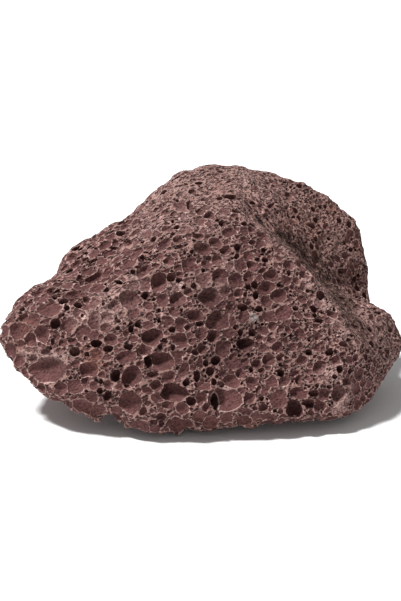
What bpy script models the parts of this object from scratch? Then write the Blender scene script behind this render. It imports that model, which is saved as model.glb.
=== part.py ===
"""Lava rock: one loose lump of red scoria, 150 mm long, lying on a small worn flat.

The lump is one cooled mass whose outside is made of a few rounded blocks: a foreland with a broad
leaning front face, a nose that overhangs the ground on the left, a taller rear mass whose crown and
shoulder stand behind them, and the stub of a tail on the right. A ridge runs down the right end of
the foreland, and a gully lies between the ridge and the shoulder.

Metres. +X is the long direction, -Y the side of the front face, +Z up. The origin is on the ground,
under the middle of the lump's box.
"""

import bmesh
import bpy
from mathutils import Vector, noise

# Driving dimensions, in metres: the finished lump's box.
LENGTH = 0.150
DEPTH = 0.0935
HEIGHT = 0.0825
# Height of the ground in the frame of the corner points below.
GROUND = -0.0025

VOXEL = 0.0018  # grid that the blocks are fused on
WEAR_ROUNDS = 7  # smoothing that wears the fused edges round
TRIANGLES = 8400
FLAT_SLACK = 0.00004  # thinning lifts the flat's points off the ground by less than this

# Slow swells of the broken surface: the size of one swell and how far it stands out.
SWELLS = [(0.034, 0.0016), (0.016, 0.0013), (0.008, 0.0007)]
SWELL_SEED = Vector((3.1, 7.7, 1.9))

# Corner points of each block. Each block is the tight skin round its own corners, and the blocks
# overlap, so that no seam between them shows.
NOSE = [
    # outline of the overhang, from the tip down to the ground
    (-0.0752, -0.015, 0.0265),
    (-0.0732, -0.018, 0.0225),
    (-0.0712, -0.021, 0.0190),
    (-0.0670, -0.025, 0.0160),
    (-0.0628, -0.028, 0.0124),
    (-0.0558, -0.031, 0.0074),
    (-0.0440, -0.0355, 0.0038),
    (-0.0360, -0.0366, 0.0018),
    (-0.0300, -0.037, 0.0018),
    # crest along the top
    (-0.0705, -0.018, 0.0325),
    (-0.0605, -0.020, 0.0405),
    (-0.0472, -0.017, 0.0462),
    (-0.0340, -0.023, 0.0450),
    # top, back and underside
    (-0.0685, -0.003, 0.0395),
    (-0.0608, 0.004, 0.0422),
    (-0.0545, 0.010, 0.0440),
    (-0.0300, 0.012, 0.0450),
    (-0.0715, 0.001, 0.0235),
    (-0.0620, 0.016, 0.0200),
    (-0.0480, 0.024, 0.0100),
    (-0.0250, 0.010, 0.0040),
    # belly
    (-0.0480, -0.037, 0.0150),
    (-0.0330, -0.0362, 0.0270),
    (-0.0250, -0.041, 0.0130),
]

FORELAND = [
    # top of the slope behind the nose
    (-0.0548, 0.015, 0.0468),
    (-0.0545, 0.014, 0.0400),
    (-0.0505, 0.019, 0.0505),
    (-0.0462, 0.021, 0.0530),
    (-0.0385, 0.023, 0.0567),
    (-0.0283, 0.024, 0.0612),
    (-0.0110, 0.007, 0.0695),
    # upper edge of the front face
    (-0.0300, -0.024, 0.0465),
    # ridge, from under the crown down to the tail
    (0.0140, 0.004, 0.0692),
    (0.0268, -0.001, 0.0602),
    (0.0390, -0.007, 0.0509),
    (0.0466, -0.012, 0.0432),
    (0.0514, -0.017, 0.0352),
    (0.0580, -0.021, 0.0258),
    # belly and foot of the front face
    (-0.0330, -0.0362, 0.0270),
    (-0.0200, -0.044, 0.0110),
    (0.0100, -0.043, 0.0110),
    (0.0360, -0.040, 0.0100),
    (-0.0300, -0.037, 0.0015),
    (-0.0130, -0.0405, -0.0008),
    (0.0020, -0.0390, -0.0004),
    (0.0190, -0.0375, -0.0003),
    (0.0362, -0.0360, -0.0002),
    (0.0530, -0.0300, 0.0000),
    # back flank and underside, inside the rear mass
    (0.0370, 0.014, 0.0475),
    (0.0520, 0.006, 0.0330),
    (-0.0530, 0.025, 0.0220),
    (-0.0450, 0.031, 0.0130),
    (-0.0320, 0.024, 0.0010),
    (0.0300, 0.020, 0.0010),
]

REAR = [
    # crown
    (-0.0088, 0.026, 0.0803),
    (0.0002, 0.029, 0.0816),
    (0.0115, 0.031, 0.0808),
    (0.0195, 0.033, 0.0792),
    (0.0350, 0.035, 0.0748),
    (-0.0110, 0.008, 0.0700),
    (0.0130, 0.007, 0.0700),
    # shoulder
    (0.0412, 0.036, 0.0726),
    (0.0478, 0.036, 0.0684),
    (0.0530, 0.036, 0.0655),
    (0.0598, 0.035, 0.0592),
    (0.0624, 0.034, 0.0525),
    (0.0640, 0.032, 0.0412),
    (0.0655, 0.029, 0.0318),
    (0.0672, 0.025, 0.0240),
    (0.0480, 0.013, 0.0410),
    (0.0620, 0.010, 0.0150),
    # left flank of the crown
    (-0.0158, 0.026, 0.0740),
    (-0.0235, 0.025, 0.0672),
    (-0.0290, 0.024, 0.0605),
    (-0.0480, 0.026, 0.0300),
    # back
    (0.0060, 0.039, 0.0765),
    (0.0300, 0.042, 0.0700),
    (-0.0170, 0.038, 0.0640),
    (-0.0330, 0.043, 0.0340),
    (0.0150, 0.051, 0.0380),
    (0.0470, 0.047, 0.0420),
    (0.0630, 0.039, 0.0240),
    (-0.0480, 0.034, 0.0130),
    (-0.0100, 0.047, 0.0060),
    (0.0645, 0.031, 0.0100),
    # underside, reaching forward beneath the foreland
    (-0.0480, 0.020, 0.0080),
    (-0.0350, 0.035, 0.0020),
    (-0.0300, 0.006, 0.0010),
    (0.0050, 0.042, 0.0010),
    (0.0260, 0.044, 0.0015),
    (0.0300, 0.004, 0.0010),
    (0.0500, 0.037, 0.0020),
    (0.0580, 0.022, 0.0030),
]

TAIL = [
    # round end, from its top down to the ground
    (0.0694, 0.010, 0.0300),
    (0.0714, 0.006, 0.0308),
    (0.0738, 0.003, 0.0278),
    (0.0762, -0.001, 0.0192),
    (0.0757, -0.003, 0.0160),
    (0.0738, -0.007, 0.0128),
    (0.0706, -0.012, 0.0100),
    (0.0642, -0.020, 0.0045),
    (0.0594, -0.025, 0.0014),
    (0.0532, -0.031, 0.0000),
    # front, flush with the foreland
    (0.0582, -0.021, 0.0262),
    (0.0514, -0.017, 0.0345),
    (0.0400, -0.040, 0.0110),
    (0.0540, -0.033, 0.0110),
    (0.0640, -0.021, 0.0170),
    (0.0500, -0.030, 0.0230),
    # back, inside the rear mass
    (0.0720, 0.014, 0.0180),
    (0.0690, 0.021, 0.0130),
    (0.0640, 0.026, 0.0080),
    (0.0560, 0.026, 0.0020),
    (0.0560, 0.010, 0.0320),
    (0.0500, 0.015, 0.0010),
]

# Low bed under the middle of the lump, which the lump lies on.
BED = [
    (-0.0360, -0.030, 0.0035),
    (-0.0120, -0.038, 0.0005),
    (0.0200, -0.036, 0.0005),
    (0.0500, -0.028, 0.0015),
    (0.0600, -0.004, 0.0050),
    (0.0570, 0.024, 0.0040),
    (0.0300, 0.041, 0.0020),
    (-0.0150, 0.041, 0.0040),
    (-0.0400, 0.020, 0.0040),
    (-0.0180, -0.016, -0.0036),
    (0.0080, -0.022, -0.0038),
    (0.0380, -0.016, -0.0036),
    (0.0440, 0.008, -0.0034),
    (0.0300, 0.026, -0.0036),
    (-0.0020, 0.028, -0.0034),
    (-0.0220, 0.010, -0.0034),
    (0.0050, 0.000, 0.0100),
]

# Floor of the gully, between the ridge and the shoulder.
SADDLE = [
    (0.0290, 0.006, 0.0525),
    (0.0400, 0.018, 0.0455),
    (0.0500, 0.016, 0.0365),
    (0.0600, 0.014, 0.0300),
    (0.0660, 0.022, 0.0265),
    (0.0480, -0.006, 0.0360),
    (0.0590, -0.006, 0.0285),
    (0.0660, 0.006, 0.0290),
    (0.0300, 0.010, 0.0100),
    (0.0620, 0.024, 0.0080),
    (0.0600, -0.010, 0.0100),
]

BLOCKS = [NOSE, FORELAND, REAR, TAIL, BED, SADDLE]

# Shallow dents pressed into the front face: centre, reach and push.
DENTS = [
    # scoop above the foot, on the right
    ((0.032, -0.035, 0.022), 0.024, (-0.0004, 0.0028, -0.0004)),
    # valley that runs down to the left from under the ridge
    ((0.023, -0.028, 0.038), 0.011, (0.0000, 0.0018, -0.0008)),
    ((0.012, -0.035, 0.030), 0.011, (0.0000, 0.0018, -0.0006)),
    ((0.002, -0.041, 0.020), 0.011, (0.0000, 0.0016, -0.0002)),
]


def clear_scene():
    for obj in list(bpy.data.objects):
        bpy.data.objects.remove(obj, do_unlink=True)


def blocks_mesh():
    """One mesh that holds every block's skin."""
    mesh = bpy.data.meshes.new("blocks")
    joined = bmesh.new()
    for corners in BLOCKS:
        block = bmesh.new()
        for corner in corners:
            block.verts.new(corner)
        hull = bmesh.ops.convex_hull(block, input=block.verts)
        inner = set(hull["geom_interior"]) | set(hull["geom_unused"])
        bmesh.ops.delete(block, geom=[v for v in inner if isinstance(v, bmesh.types.BMVert)])
        bmesh.ops.recalc_face_normals(block, faces=block.faces)
        block.to_mesh(mesh)
        block.free()
        joined.from_mesh(mesh)
    joined.to_mesh(mesh)
    joined.free()
    return mesh


def evaluated(obj, name):
    """A new mesh with the object's modifiers applied."""
    graph = bpy.context.evaluated_depsgraph_get()
    mesh = bpy.data.meshes.new_from_object(obj.evaluated_get(graph))
    mesh.name = name
    return mesh


def one_skin(mesh):
    """The blocks fused into one closed skin, with their edges worn round."""
    rough = bpy.data.objects.new("rough", mesh)
    bpy.context.scene.collection.objects.link(rough)
    fuse = rough.modifiers.new("fuse", "REMESH")
    fuse.mode = "VOXEL"
    fuse.voxel_size = VOXEL
    wear = rough.modifiers.new("wear", "SMOOTH")
    wear.factor = 0.5
    wear.iterations = WEAR_ROUNDS
    skin = evaluated(rough, "skin")
    bpy.data.objects.remove(rough)
    return skin


def push(bm, centre, radius, move):
    """Moves the surface near a point, most at the point and not at all past the radius."""
    centre = Vector(centre)
    move = Vector(move)
    for vert in bm.verts:
        near = 1.0 - (vert.co - centre).length / radius
        if near > 0.0:
            vert.co += move * (near * near * (3.0 - 2.0 * near))


def swell(bm):
    """Raises and lowers the surface in slow swells."""
    bm.normal_update()
    moves = []
    for vert in bm.verts:
        height = 0.0
        for size, rise in SWELLS:
            height += rise * noise.noise(vert.co / size + SWELL_SEED)
        moves.append(vert.normal * height)
    for vert, move in zip(bm.verts, moves):
        vert.co += move


def settle(bm):
    """Grinds off what is under the ground, which leaves the worn flat."""
    for vert in bm.verts:
        vert.co.z = max(vert.co.z, GROUND)


def place(bm):
    """Brings the lump to its driving size, its box centred over the origin and its flat at z = 0."""
    low = Vector([min(vert.co[axis] for vert in bm.verts) for axis in range(3)])
    high = Vector([max(vert.co[axis] for vert in bm.verts) for axis in range(3)])
    under = Vector(((low.x + high.x) / 2, (low.y + high.y) / 2, low.z))
    size = high - low
    scale = Vector((LENGTH / size.x, DEPTH / size.y, HEIGHT / size.z))
    bmesh.ops.translate(bm, verts=bm.verts, vec=-under)
    bmesh.ops.scale(bm, verts=bm.verts, vec=scale)


def scoria():
    """Red scoria: iron oxide in a frothy basalt gives a dull, quite rough red brown."""
    material = bpy.data.materials.new("red_scoria")
    material.use_nodes = True
    shader = material.node_tree.nodes["Principled BSDF"]
    shader.inputs["Base Color"].default_value = (0.130, 0.066, 0.060, 1.0)
    shader.inputs["Roughness"].default_value = 0.92
    shader.inputs["Metallic"].default_value = 0.0
    return material


def level(mesh):
    """Puts the worn flat's points exactly on the ground."""
    for vert in mesh.vertices:
        if vert.co.z < FLAT_SLACK:
            vert.co.z = 0.0


def lava_rock():
    """The finished lump, thinned to its triangle budget."""
    skin = one_skin(blocks_mesh())
    bm = bmesh.new()
    bm.from_mesh(skin)
    for centre, reach, move in DENTS:
        push(bm, centre, reach, move)
    swell(bm)
    settle(bm)
    place(bm)
    bmesh.ops.triangulate(bm, faces=bm.faces)
    bm.to_mesh(skin)
    count = len(bm.faces)
    bm.free()
    rock = bpy.data.objects.new("lava_rock", skin)
    bpy.context.scene.collection.objects.link(rock)
    thin = rock.modifiers.new("thin", "DECIMATE")
    thin.ratio = TRIANGLES / count
    mesh = evaluated(rock, "lava_rock")
    level(mesh)
    rock.modifiers.clear()
    rock.data = mesh
    mesh.shade_smooth()
    mesh.materials.append(scoria())
    return rock


clear_scene()
lava_rock()
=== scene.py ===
"""Looks of the lava rock: the lump's broken surface, its bubbles, its finish, and a plain studio.

The frame gives the lump's form. Its surface is a break through cooled froth, so the bubbles are cut
out of it one by one: wide open bowls where the break passed above a bubble's middle, dark holes with
a narrow mouth where it passed near the top. Metres, +Z up, -Y the front.
"""

import math
import random
from collections import namedtuple

import bmesh
import bpy
import numpy as np
from mathutils import Euler, Matrix, Vector, noise
from mathutils.bvhtree import BVHTree


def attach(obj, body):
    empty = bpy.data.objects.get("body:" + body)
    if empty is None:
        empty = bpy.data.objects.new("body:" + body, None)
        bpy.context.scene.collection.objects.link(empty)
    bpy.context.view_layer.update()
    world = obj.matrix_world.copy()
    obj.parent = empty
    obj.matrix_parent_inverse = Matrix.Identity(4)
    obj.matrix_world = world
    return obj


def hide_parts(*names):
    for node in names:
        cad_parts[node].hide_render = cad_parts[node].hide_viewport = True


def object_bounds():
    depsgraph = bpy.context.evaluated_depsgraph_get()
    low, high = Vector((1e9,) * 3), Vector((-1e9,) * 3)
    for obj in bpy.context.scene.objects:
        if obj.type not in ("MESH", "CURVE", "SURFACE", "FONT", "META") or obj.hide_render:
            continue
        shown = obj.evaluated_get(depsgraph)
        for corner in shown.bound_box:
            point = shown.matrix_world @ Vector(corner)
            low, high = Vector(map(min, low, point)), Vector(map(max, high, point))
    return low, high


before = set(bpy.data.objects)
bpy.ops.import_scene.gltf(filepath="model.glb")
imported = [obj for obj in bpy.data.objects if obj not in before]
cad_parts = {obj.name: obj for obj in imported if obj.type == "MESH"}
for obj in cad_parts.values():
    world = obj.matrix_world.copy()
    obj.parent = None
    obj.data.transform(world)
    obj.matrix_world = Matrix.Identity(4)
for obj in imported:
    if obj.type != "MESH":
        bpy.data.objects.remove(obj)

CAD_LOW, CAD_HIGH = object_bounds()
MM = 0.001
FAR = 1.0  # further than any two places on the lump
SEED = 7
noise.seed_set(SEED)

# ---------------------------------------------------------------- front view
#
# Places on the lump are given where they are seen in this view: 401 across, 601 down, from the top
# left corner.

VIEW_WIDE = 401
VIEW_HIGH = 601
LENS = 100.0
SENSOR = 36.0
ELEVATION = math.radians(20)
DISTANCE = 0.620
AIM = Vector((-0.0009, -0.0030, 0.0382))


def front_camera():
    data = bpy.data.cameras.new("front")
    data.lens = LENS
    data.sensor_width = SENSOR
    camera = bpy.data.objects.new("front", data)
    bpy.context.scene.collection.objects.link(camera)
    back = Vector((0.0, -math.cos(ELEVATION), math.sin(ELEVATION)))
    camera.location = AIM + DISTANCE * back
    camera.rotation_euler = back.to_track_quat("Z", "Y").to_euler()
    bpy.context.scene.camera = camera
    bpy.context.view_layer.update()
    return camera


def line_of_sight(camera, across, down):
    """Start and direction of the line from the camera through a point of its view."""
    per_unit = VIEW_HIGH * LENS / SENSOR
    right = (across - VIEW_WIDE / 2) / per_unit
    up = (VIEW_HIGH / 2 - down) / per_unit
    turn = camera.matrix_world.to_quaternion()
    return camera.location, (turn @ Vector((right, up, -1.0))).normalized()


def seen_line(skin, camera, line):
    """Where a line of the front view lies on the skin."""
    found = []
    for across, down in line:
        spot = skin.ray_cast(*line_of_sight(camera, across, down))[0]
        if spot is not None:
            found.append(np.array(spot))
    return found


def away_from(line, points):
    """How far each point is from a line of straight legs."""
    nearest = np.full(len(points), FAR)
    for start, end in zip(line, line[1:]):
        leg = end - start
        share = np.clip((points - start) @ leg / (leg @ leg), 0.0, 1.0)
        foot = start + share[:, None] * leg
        nearest = np.minimum(nearest, np.linalg.norm(points - foot, axis=1))
    return nearest


# ---------------------------------------------------------------- folds

# The ridge from the crown down to the right, and the gully behind it.
RIDGE = [(244, 217), (262, 234), (281, 247), (298, 261), (310, 276), (322, 292), (333, 308),
         (342, 323), (350, 336), (358, 347)]
GULLY = [(249, 210), (266, 223), (282, 236), (299, 248), (312, 262), (323, 275), (334, 290),
         (344, 305), (353, 320), (364, 334)]
LOW_GULLY = GULLY[2:]
# The lip over the big bowl of the nose.
NOSE_LIP = [(20, 346), (27, 354), (38, 358), (50, 358), (60, 357), (68, 354), (76, 352)]
# A line along the grain of the upper left face.
GRAIN = [(108, 276), (172, 242)]
SHOULDER_TOP = [(276, 182), (294, 187), (310, 194), (325, 203), (340, 217), (354, 240), (360, 262)]
RIGHT_FOOT = [(276, 416), (294, 413), (312, 412), (330, 411), (342, 408)]
TAIL_NOTCH = [(369, 306), (378, 314)]
NOSE_FOOT = [(40, 384), (50, 390)]
CROWN_CORNER = [(179, 177), (186, 173)]
# How far each fold reaches and how high it stands, in mm.
CREASES = [
    (RIDGE, 3.2, 1.0),
    (GULLY, 5.0, -1.5),
    (SHOULDER_TOP, 13.0, 1.5),
    (RIGHT_FOOT, 7.0, 1.8),
    (TAIL_NOTCH, 5.0, 1.6),
    (NOSE_FOOT, 6.0, 1.6),
    (CROWN_CORNER, 5.0, 1.2),
]

# ---------------------------------------------------------------- froth

# What the break shows in each part of the lump. Sizes are mouth radii in mm: the fine froth and the
# common bubbles. Then the share of spots that common bubbles take, the share of them that are dark
# holes, how far they are drawn out, and which way, in degrees up from the right as seen from the front.
Froth = namedtuple("Froth", "fine common crowd deep stretch slant")

# Where the front view shows each patch, and its froth.
FRONT_FROTH = [
    # nose
    (15, 340, 0.60, 1.5, 0.9, 0.10, 1.1, 20),
    (45, 352, 0.70, 2.2, 1.0, 0.10, 1.1, 20),
    (60, 322, 0.70, 1.8, 1.0, 0.15, 1.1, 20),
    (45, 384, 0.50, 1.1, 0.9, 0.15, 1.1, 20),
    (25, 315, 0.60, 1.3, 0.9, 0.20, 1.4, 35),
    # front, left half
    (100, 330, 0.70, 1.9, 1.0, 0.12, 1.1, 30),
    (130, 360, 0.70, 2.0, 1.0, 0.20, 1.1, 30),
    (105, 390, 0.60, 1.5, 0.9, 0.20, 1.1, 30),
    (130, 408, 0.70, 1.9, 1.0, 0.10, 1.1, 30),
    # upper left face
    (70, 285, 0.50, 1.15, 1.0, 0.45, 2.0, 30),
    (100, 265, 0.50, 1.15, 1.0, 0.45, 2.0, 28),
    (130, 258, 0.50, 1.15, 1.0, 0.45, 1.9, 25),
    (165, 245, 0.50, 1.05, 1.0, 0.40, 1.7, 22),
    (150, 290, 0.65, 1.5, 1.0, 0.15, 1.2, 30),
    # front, middle
    (180, 310, 0.70, 2.0, 1.0, 0.12, 1.1, 45),
    (215, 300, 0.70, 2.1, 1.0, 0.10, 1.1, 45),
    (200, 342, 0.60, 1.5, 1.0, 0.28, 1.5, 45),
    (180, 362, 0.60, 1.5, 1.0, 0.28, 1.5, 45),
    (240, 320, 0.55, 1.3, 1.0, 0.25, 1.3, 50),
    (270, 308, 0.65, 1.6, 1.0, 0.28, 1.2, 50),
    (262, 270, 0.60, 1.4, 1.0, 0.28, 1.2, 60),
    (230, 248, 0.60, 1.3, 0.9, 0.28, 1.3, 20),
    (290, 288, 0.60, 1.2, 0.9, 0.30, 1.2, -45),
    (222, 272, 0.70, 1.8, 1.0, 0.10, 1.1, 20),
    # valley and scoop
    (265, 342, 0.50, 0.85, 0.8, 0.20, 1.5, 45),
    (290, 360, 0.45, 0.65, 0.7, 0.12, 1.3, 30),
    (320, 345, 0.45, 0.65, 0.7, 0.20, 1.3, 45),
    (310, 322, 0.45, 0.70, 0.7, 0.25, 1.3, -45),
    (250, 370, 0.50, 1.0, 0.9, 0.20, 1.2, 40),
    # foot
    (175, 395, 0.70, 2.1, 1.0, 0.12, 1.1, 20),
    (225, 400, 0.70, 2.1, 1.0, 0.15, 1.1, 20),
    (265, 395, 0.60, 1.6, 1.0, 0.20, 1.1, 20),
    (300, 395, 0.65, 1.8, 1.0, 0.30, 1.1, 20),
    (200, 421, 0.60, 1.4, 1.0, 0.25, 1.1, 10),
    (260, 415, 0.60, 1.2, 1.0, 0.25, 1.1, 10),
    (310, 412, 0.60, 1.2, 1.0, 0.25, 1.1, 10),
    (340, 385, 0.60, 1.3, 1.0, 0.30, 1.1, 40),
    (350, 360, 0.45, 0.75, 0.9, 0.35, 1.2, 40),
    # crown
    (200, 178, 0.42, 0.60, 0.4, 0.05, 2.4, 5),
    (235, 174, 0.42, 0.60, 0.3, 0.05, 2.4, -5),
    (190, 205, 0.42, 0.70, 0.6, 0.15, 1.6, 15),
    (230, 205, 0.42, 0.65, 0.6, 0.12, 1.8, 10),
    (162, 222, 0.42, 0.70, 0.7, 0.25, 1.9, 35),
    (215, 230, 0.45, 0.85, 0.8, 0.22, 1.4, 10),
    (260, 190, 0.42, 0.60, 0.5, 0.20, 1.8, -10),
    # ridge, its front side
    (247, 238, 0.45, 0.95, 0.9, 0.25, 1.3, -30),
    (264, 250, 0.45, 0.95, 0.9, 0.30, 1.2, -40),
    (281, 265, 0.45, 0.95, 0.9, 0.30, 1.2, -45),
    (297, 281, 0.45, 0.90, 0.9, 0.25, 1.2, -45),
    (312, 298, 0.42, 0.80, 0.8, 0.25, 1.3, -45),
    (326, 316, 0.42, 0.75, 0.8, 0.20, 1.3, -45),
    (341, 337, 0.42, 0.70, 0.8, 0.25, 1.3, -45),
    # gully, close behind the ridge
    (246, 212, 0.40, 0.50, 0.5, 0.30, 2.0, -40),
    (270, 230, 0.40, 0.50, 0.5, 0.35, 2.2, -40),
    (300, 258, 0.40, 0.50, 0.5, 0.35, 2.2, -42),
    (327, 287, 0.40, 0.50, 0.5, 0.35, 2.2, -45),
    (348, 318, 0.40, 0.50, 0.5, 0.35, 2.0, -45),
    (258, 222, 0.40, 0.50, 0.5, 0.35, 2.0, -40),
    (287, 248, 0.40, 0.50, 0.5, 0.35, 2.2, -42),
    (314, 273, 0.40, 0.50, 0.5, 0.35, 2.2, -45),
    (338, 306, 0.40, 0.50, 0.5, 0.35, 2.0, -45),
    (358, 333, 0.40, 0.50, 0.5, 0.35, 1.8, -45),
    # shoulder and tail
    (285, 200, 0.42, 0.60, 0.9, 0.55, 1.3, -20),
    (320, 220, 0.42, 0.60, 0.9, 0.55, 1.2, -20),
    (346, 260, 0.42, 0.62, 0.9, 0.50, 1.2, -60),
    (302, 232, 0.42, 0.56, 0.9, 0.55, 1.4, -40),
    (334, 283, 0.42, 0.56, 0.8, 0.50, 1.4, -45),
    (356, 302, 0.42, 0.60, 0.9, 0.55, 1.2, -60),
    (376, 322, 0.42, 0.64, 0.9, 0.55, 1.2, -30),
    (386, 346, 0.42, 0.66, 0.9, 0.50, 1.1, 0),
    (374, 372, 0.45, 0.72, 0.9, 0.45, 1.1, 0),
    (352, 400, 0.55, 1.0, 0.8, 0.30, 1.1, 0),
]

# Patches that the front view does not reach, by their place in mm.
HIDDEN_FROTH = [
    (0, 36, 80, 0.60, 0.9, 0.6, 0.15, 1.8, 0),
    (-16, 28, 74, 0.60, 0.9, 0.7, 0.15, 1.8, 30),
    (-30, 24, 64, 0.60, 0.9, 0.7, 0.15, 1.8, 30),
    (-46, 20, 53, 0.60, 0.9, 0.7, 0.15, 1.8, 30),
    (-60, 5, 44, 0.60, 0.9, 0.7, 0.15, 1.8, 30),
    (-69, -8, 36, 0.60, 0.9, 0.8, 0.15, 1.5, 30),
    (22, 36, 77, 0.42, 0.6, 0.4, 0.15, 1.4, -10),
    (40, 42, 66, 0.42, 0.65, 0.5, 0.20, 1.2, -20),
    (68, 25, 20, 0.45, 0.8, 0.7, 0.30, 1.1, 0),
    (64, 34, 42, 0.42, 0.7, 0.5, 0.25, 1.1, 0),
    (5, 44, 62, 0.55, 1.1, 0.8, 0.25, 1.3, 20),
    (-35, 38, 45, 0.55, 1.3, 0.8, 0.25, 1.3, 20),
    (10, 48, 38, 0.60, 1.6, 0.75, 0.25, 1.2, 20),
    (45, 45, 38, 0.55, 1.1, 0.8, 0.30, 1.2, 20),
    (-20, 45, 15, 0.55, 1.3, 0.75, 0.25, 1.2, 20),
    (32, 48, 15, 0.55, 1.4, 0.75, 0.25, 1.2, 20),
    (-58, 18, 28, 0.55, 1.3, 0.8, 0.25, 1.3, 20),
    (-45, 20, 8, 0.60, 1.4, 0.8, 0.20, 1.0, 0),
    (0, 0, 0, 0.70, 1.5, 0.7, 0.15, 1.0, 0),
    (45, 0, 0, 0.70, 1.3, 0.7, 0.15, 1.0, 0),
    (-20, 0, 0, 0.70, 1.5, 0.7, 0.15, 1.0, 0),
]
PATCH_BLUR = 2.0 * MM  # within this reach of a patch's middle its froth is nearly pure


class FrothMap:
    """Tells the froth at any point of the skin, as a blend of the patches near it."""

    def __init__(self, skin, camera):
        spots = []
        rows = []
        for across, down, *froth in FRONT_FROTH:
            for spot in seen_line(skin, camera, [(across, down)]):
                spots.append(spot)
                rows.append(self.row(Froth(*froth)))
        for x, y, z, *froth in HIDDEN_FROTH:
            spots.append(Vector((x, y, z)) * MM)
            rows.append(self.row(Froth(*froth)))
        self.spots = np.array(spots)
        self.rows = np.array(rows)

    @staticmethod
    def row(froth):
        slant = math.radians(froth.slant)
        return [*froth[:5], math.cos(slant), math.sin(slant)]

    def at(self, points):
        """One row of fine, common, crowd, deep, stretch, right, up for each point."""
        points = np.array(points)
        away = ((points[:, None, :] - self.spots[None, :, :]) ** 2).sum(axis=2)
        weights = 1.0 / (away + PATCH_BLUR ** 2) ** 2
        return weights @ self.rows / weights.sum(axis=1, keepdims=True)


# ---------------------------------------------------------------- bubbles

BOWL = "bowl"
POCKET = "pocket"
HOLE = "hole"
CAVE = "cave"
SHAFT = "shaft"
# What makes each kind: its half depth in mouth radii, how deep its middle lies in half depths (below 0
# is out in the air), the most of that under a wide mouth, and how far it leans back. A bowl is wide
# open, a pocket about half a bubble, a hole wider inside than its mouth, a cave a pocket that leans
# far under its edge, and a shaft a deep narrow hole.
Kind = namedtuple("Kind", "depth sink wide_sink lean")
KINDS = {
    BOWL: Kind((0.85, 1.20), (-0.62, -0.40), -0.66, 0.55),
    POCKET: Kind((0.95, 1.25), (-0.32, -0.10), -0.38, 0.50),
    HOLE: Kind((1.30, 1.90), (0.15, 0.40), 0.4, 0.10),
    CAVE: Kind((1.05, 1.20), (-0.25, -0.10), 0.4, 0.90),
    SHAFT: Kind((2.60, 3.00), (0.25, 0.35), 0.4, 0.35),
}
WIDE_MOUTH = 2.2 * MM  # half across
DRAG = Vector((-0.80, 0.0, 0.60))  # the froth was dragged this way as it set
LEAN_REACH = 0.5  # how much further a bubble reaches for its lean
LEAST_FACING = 0.42  # a mouth on a slope steeper than this is not drawn out further

# The balls that cut the bubbles: the finer the bubble, the fewer its faces.
PIT = 0.58 * MM  # under this mouth radius a bubble is a five-sided pit
PIT_SIDES = 5
PIT_RADIUS = 1.15  # a pit's points stand out this far, so that its flat sides reach the mouth's edge
ROUNDER = (1.0 * MM, 2.6 * MM)  # over each of these a bubble is divided once more
# A bubble is a little out of round: the size of its bulges and dents in reaches, and their height in
# mouth radii.
BULGE = 1.1
BULGE_HEIGHT = 0.26
DENT = 0.5
DENT_HEIGHT = 0.10

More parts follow.
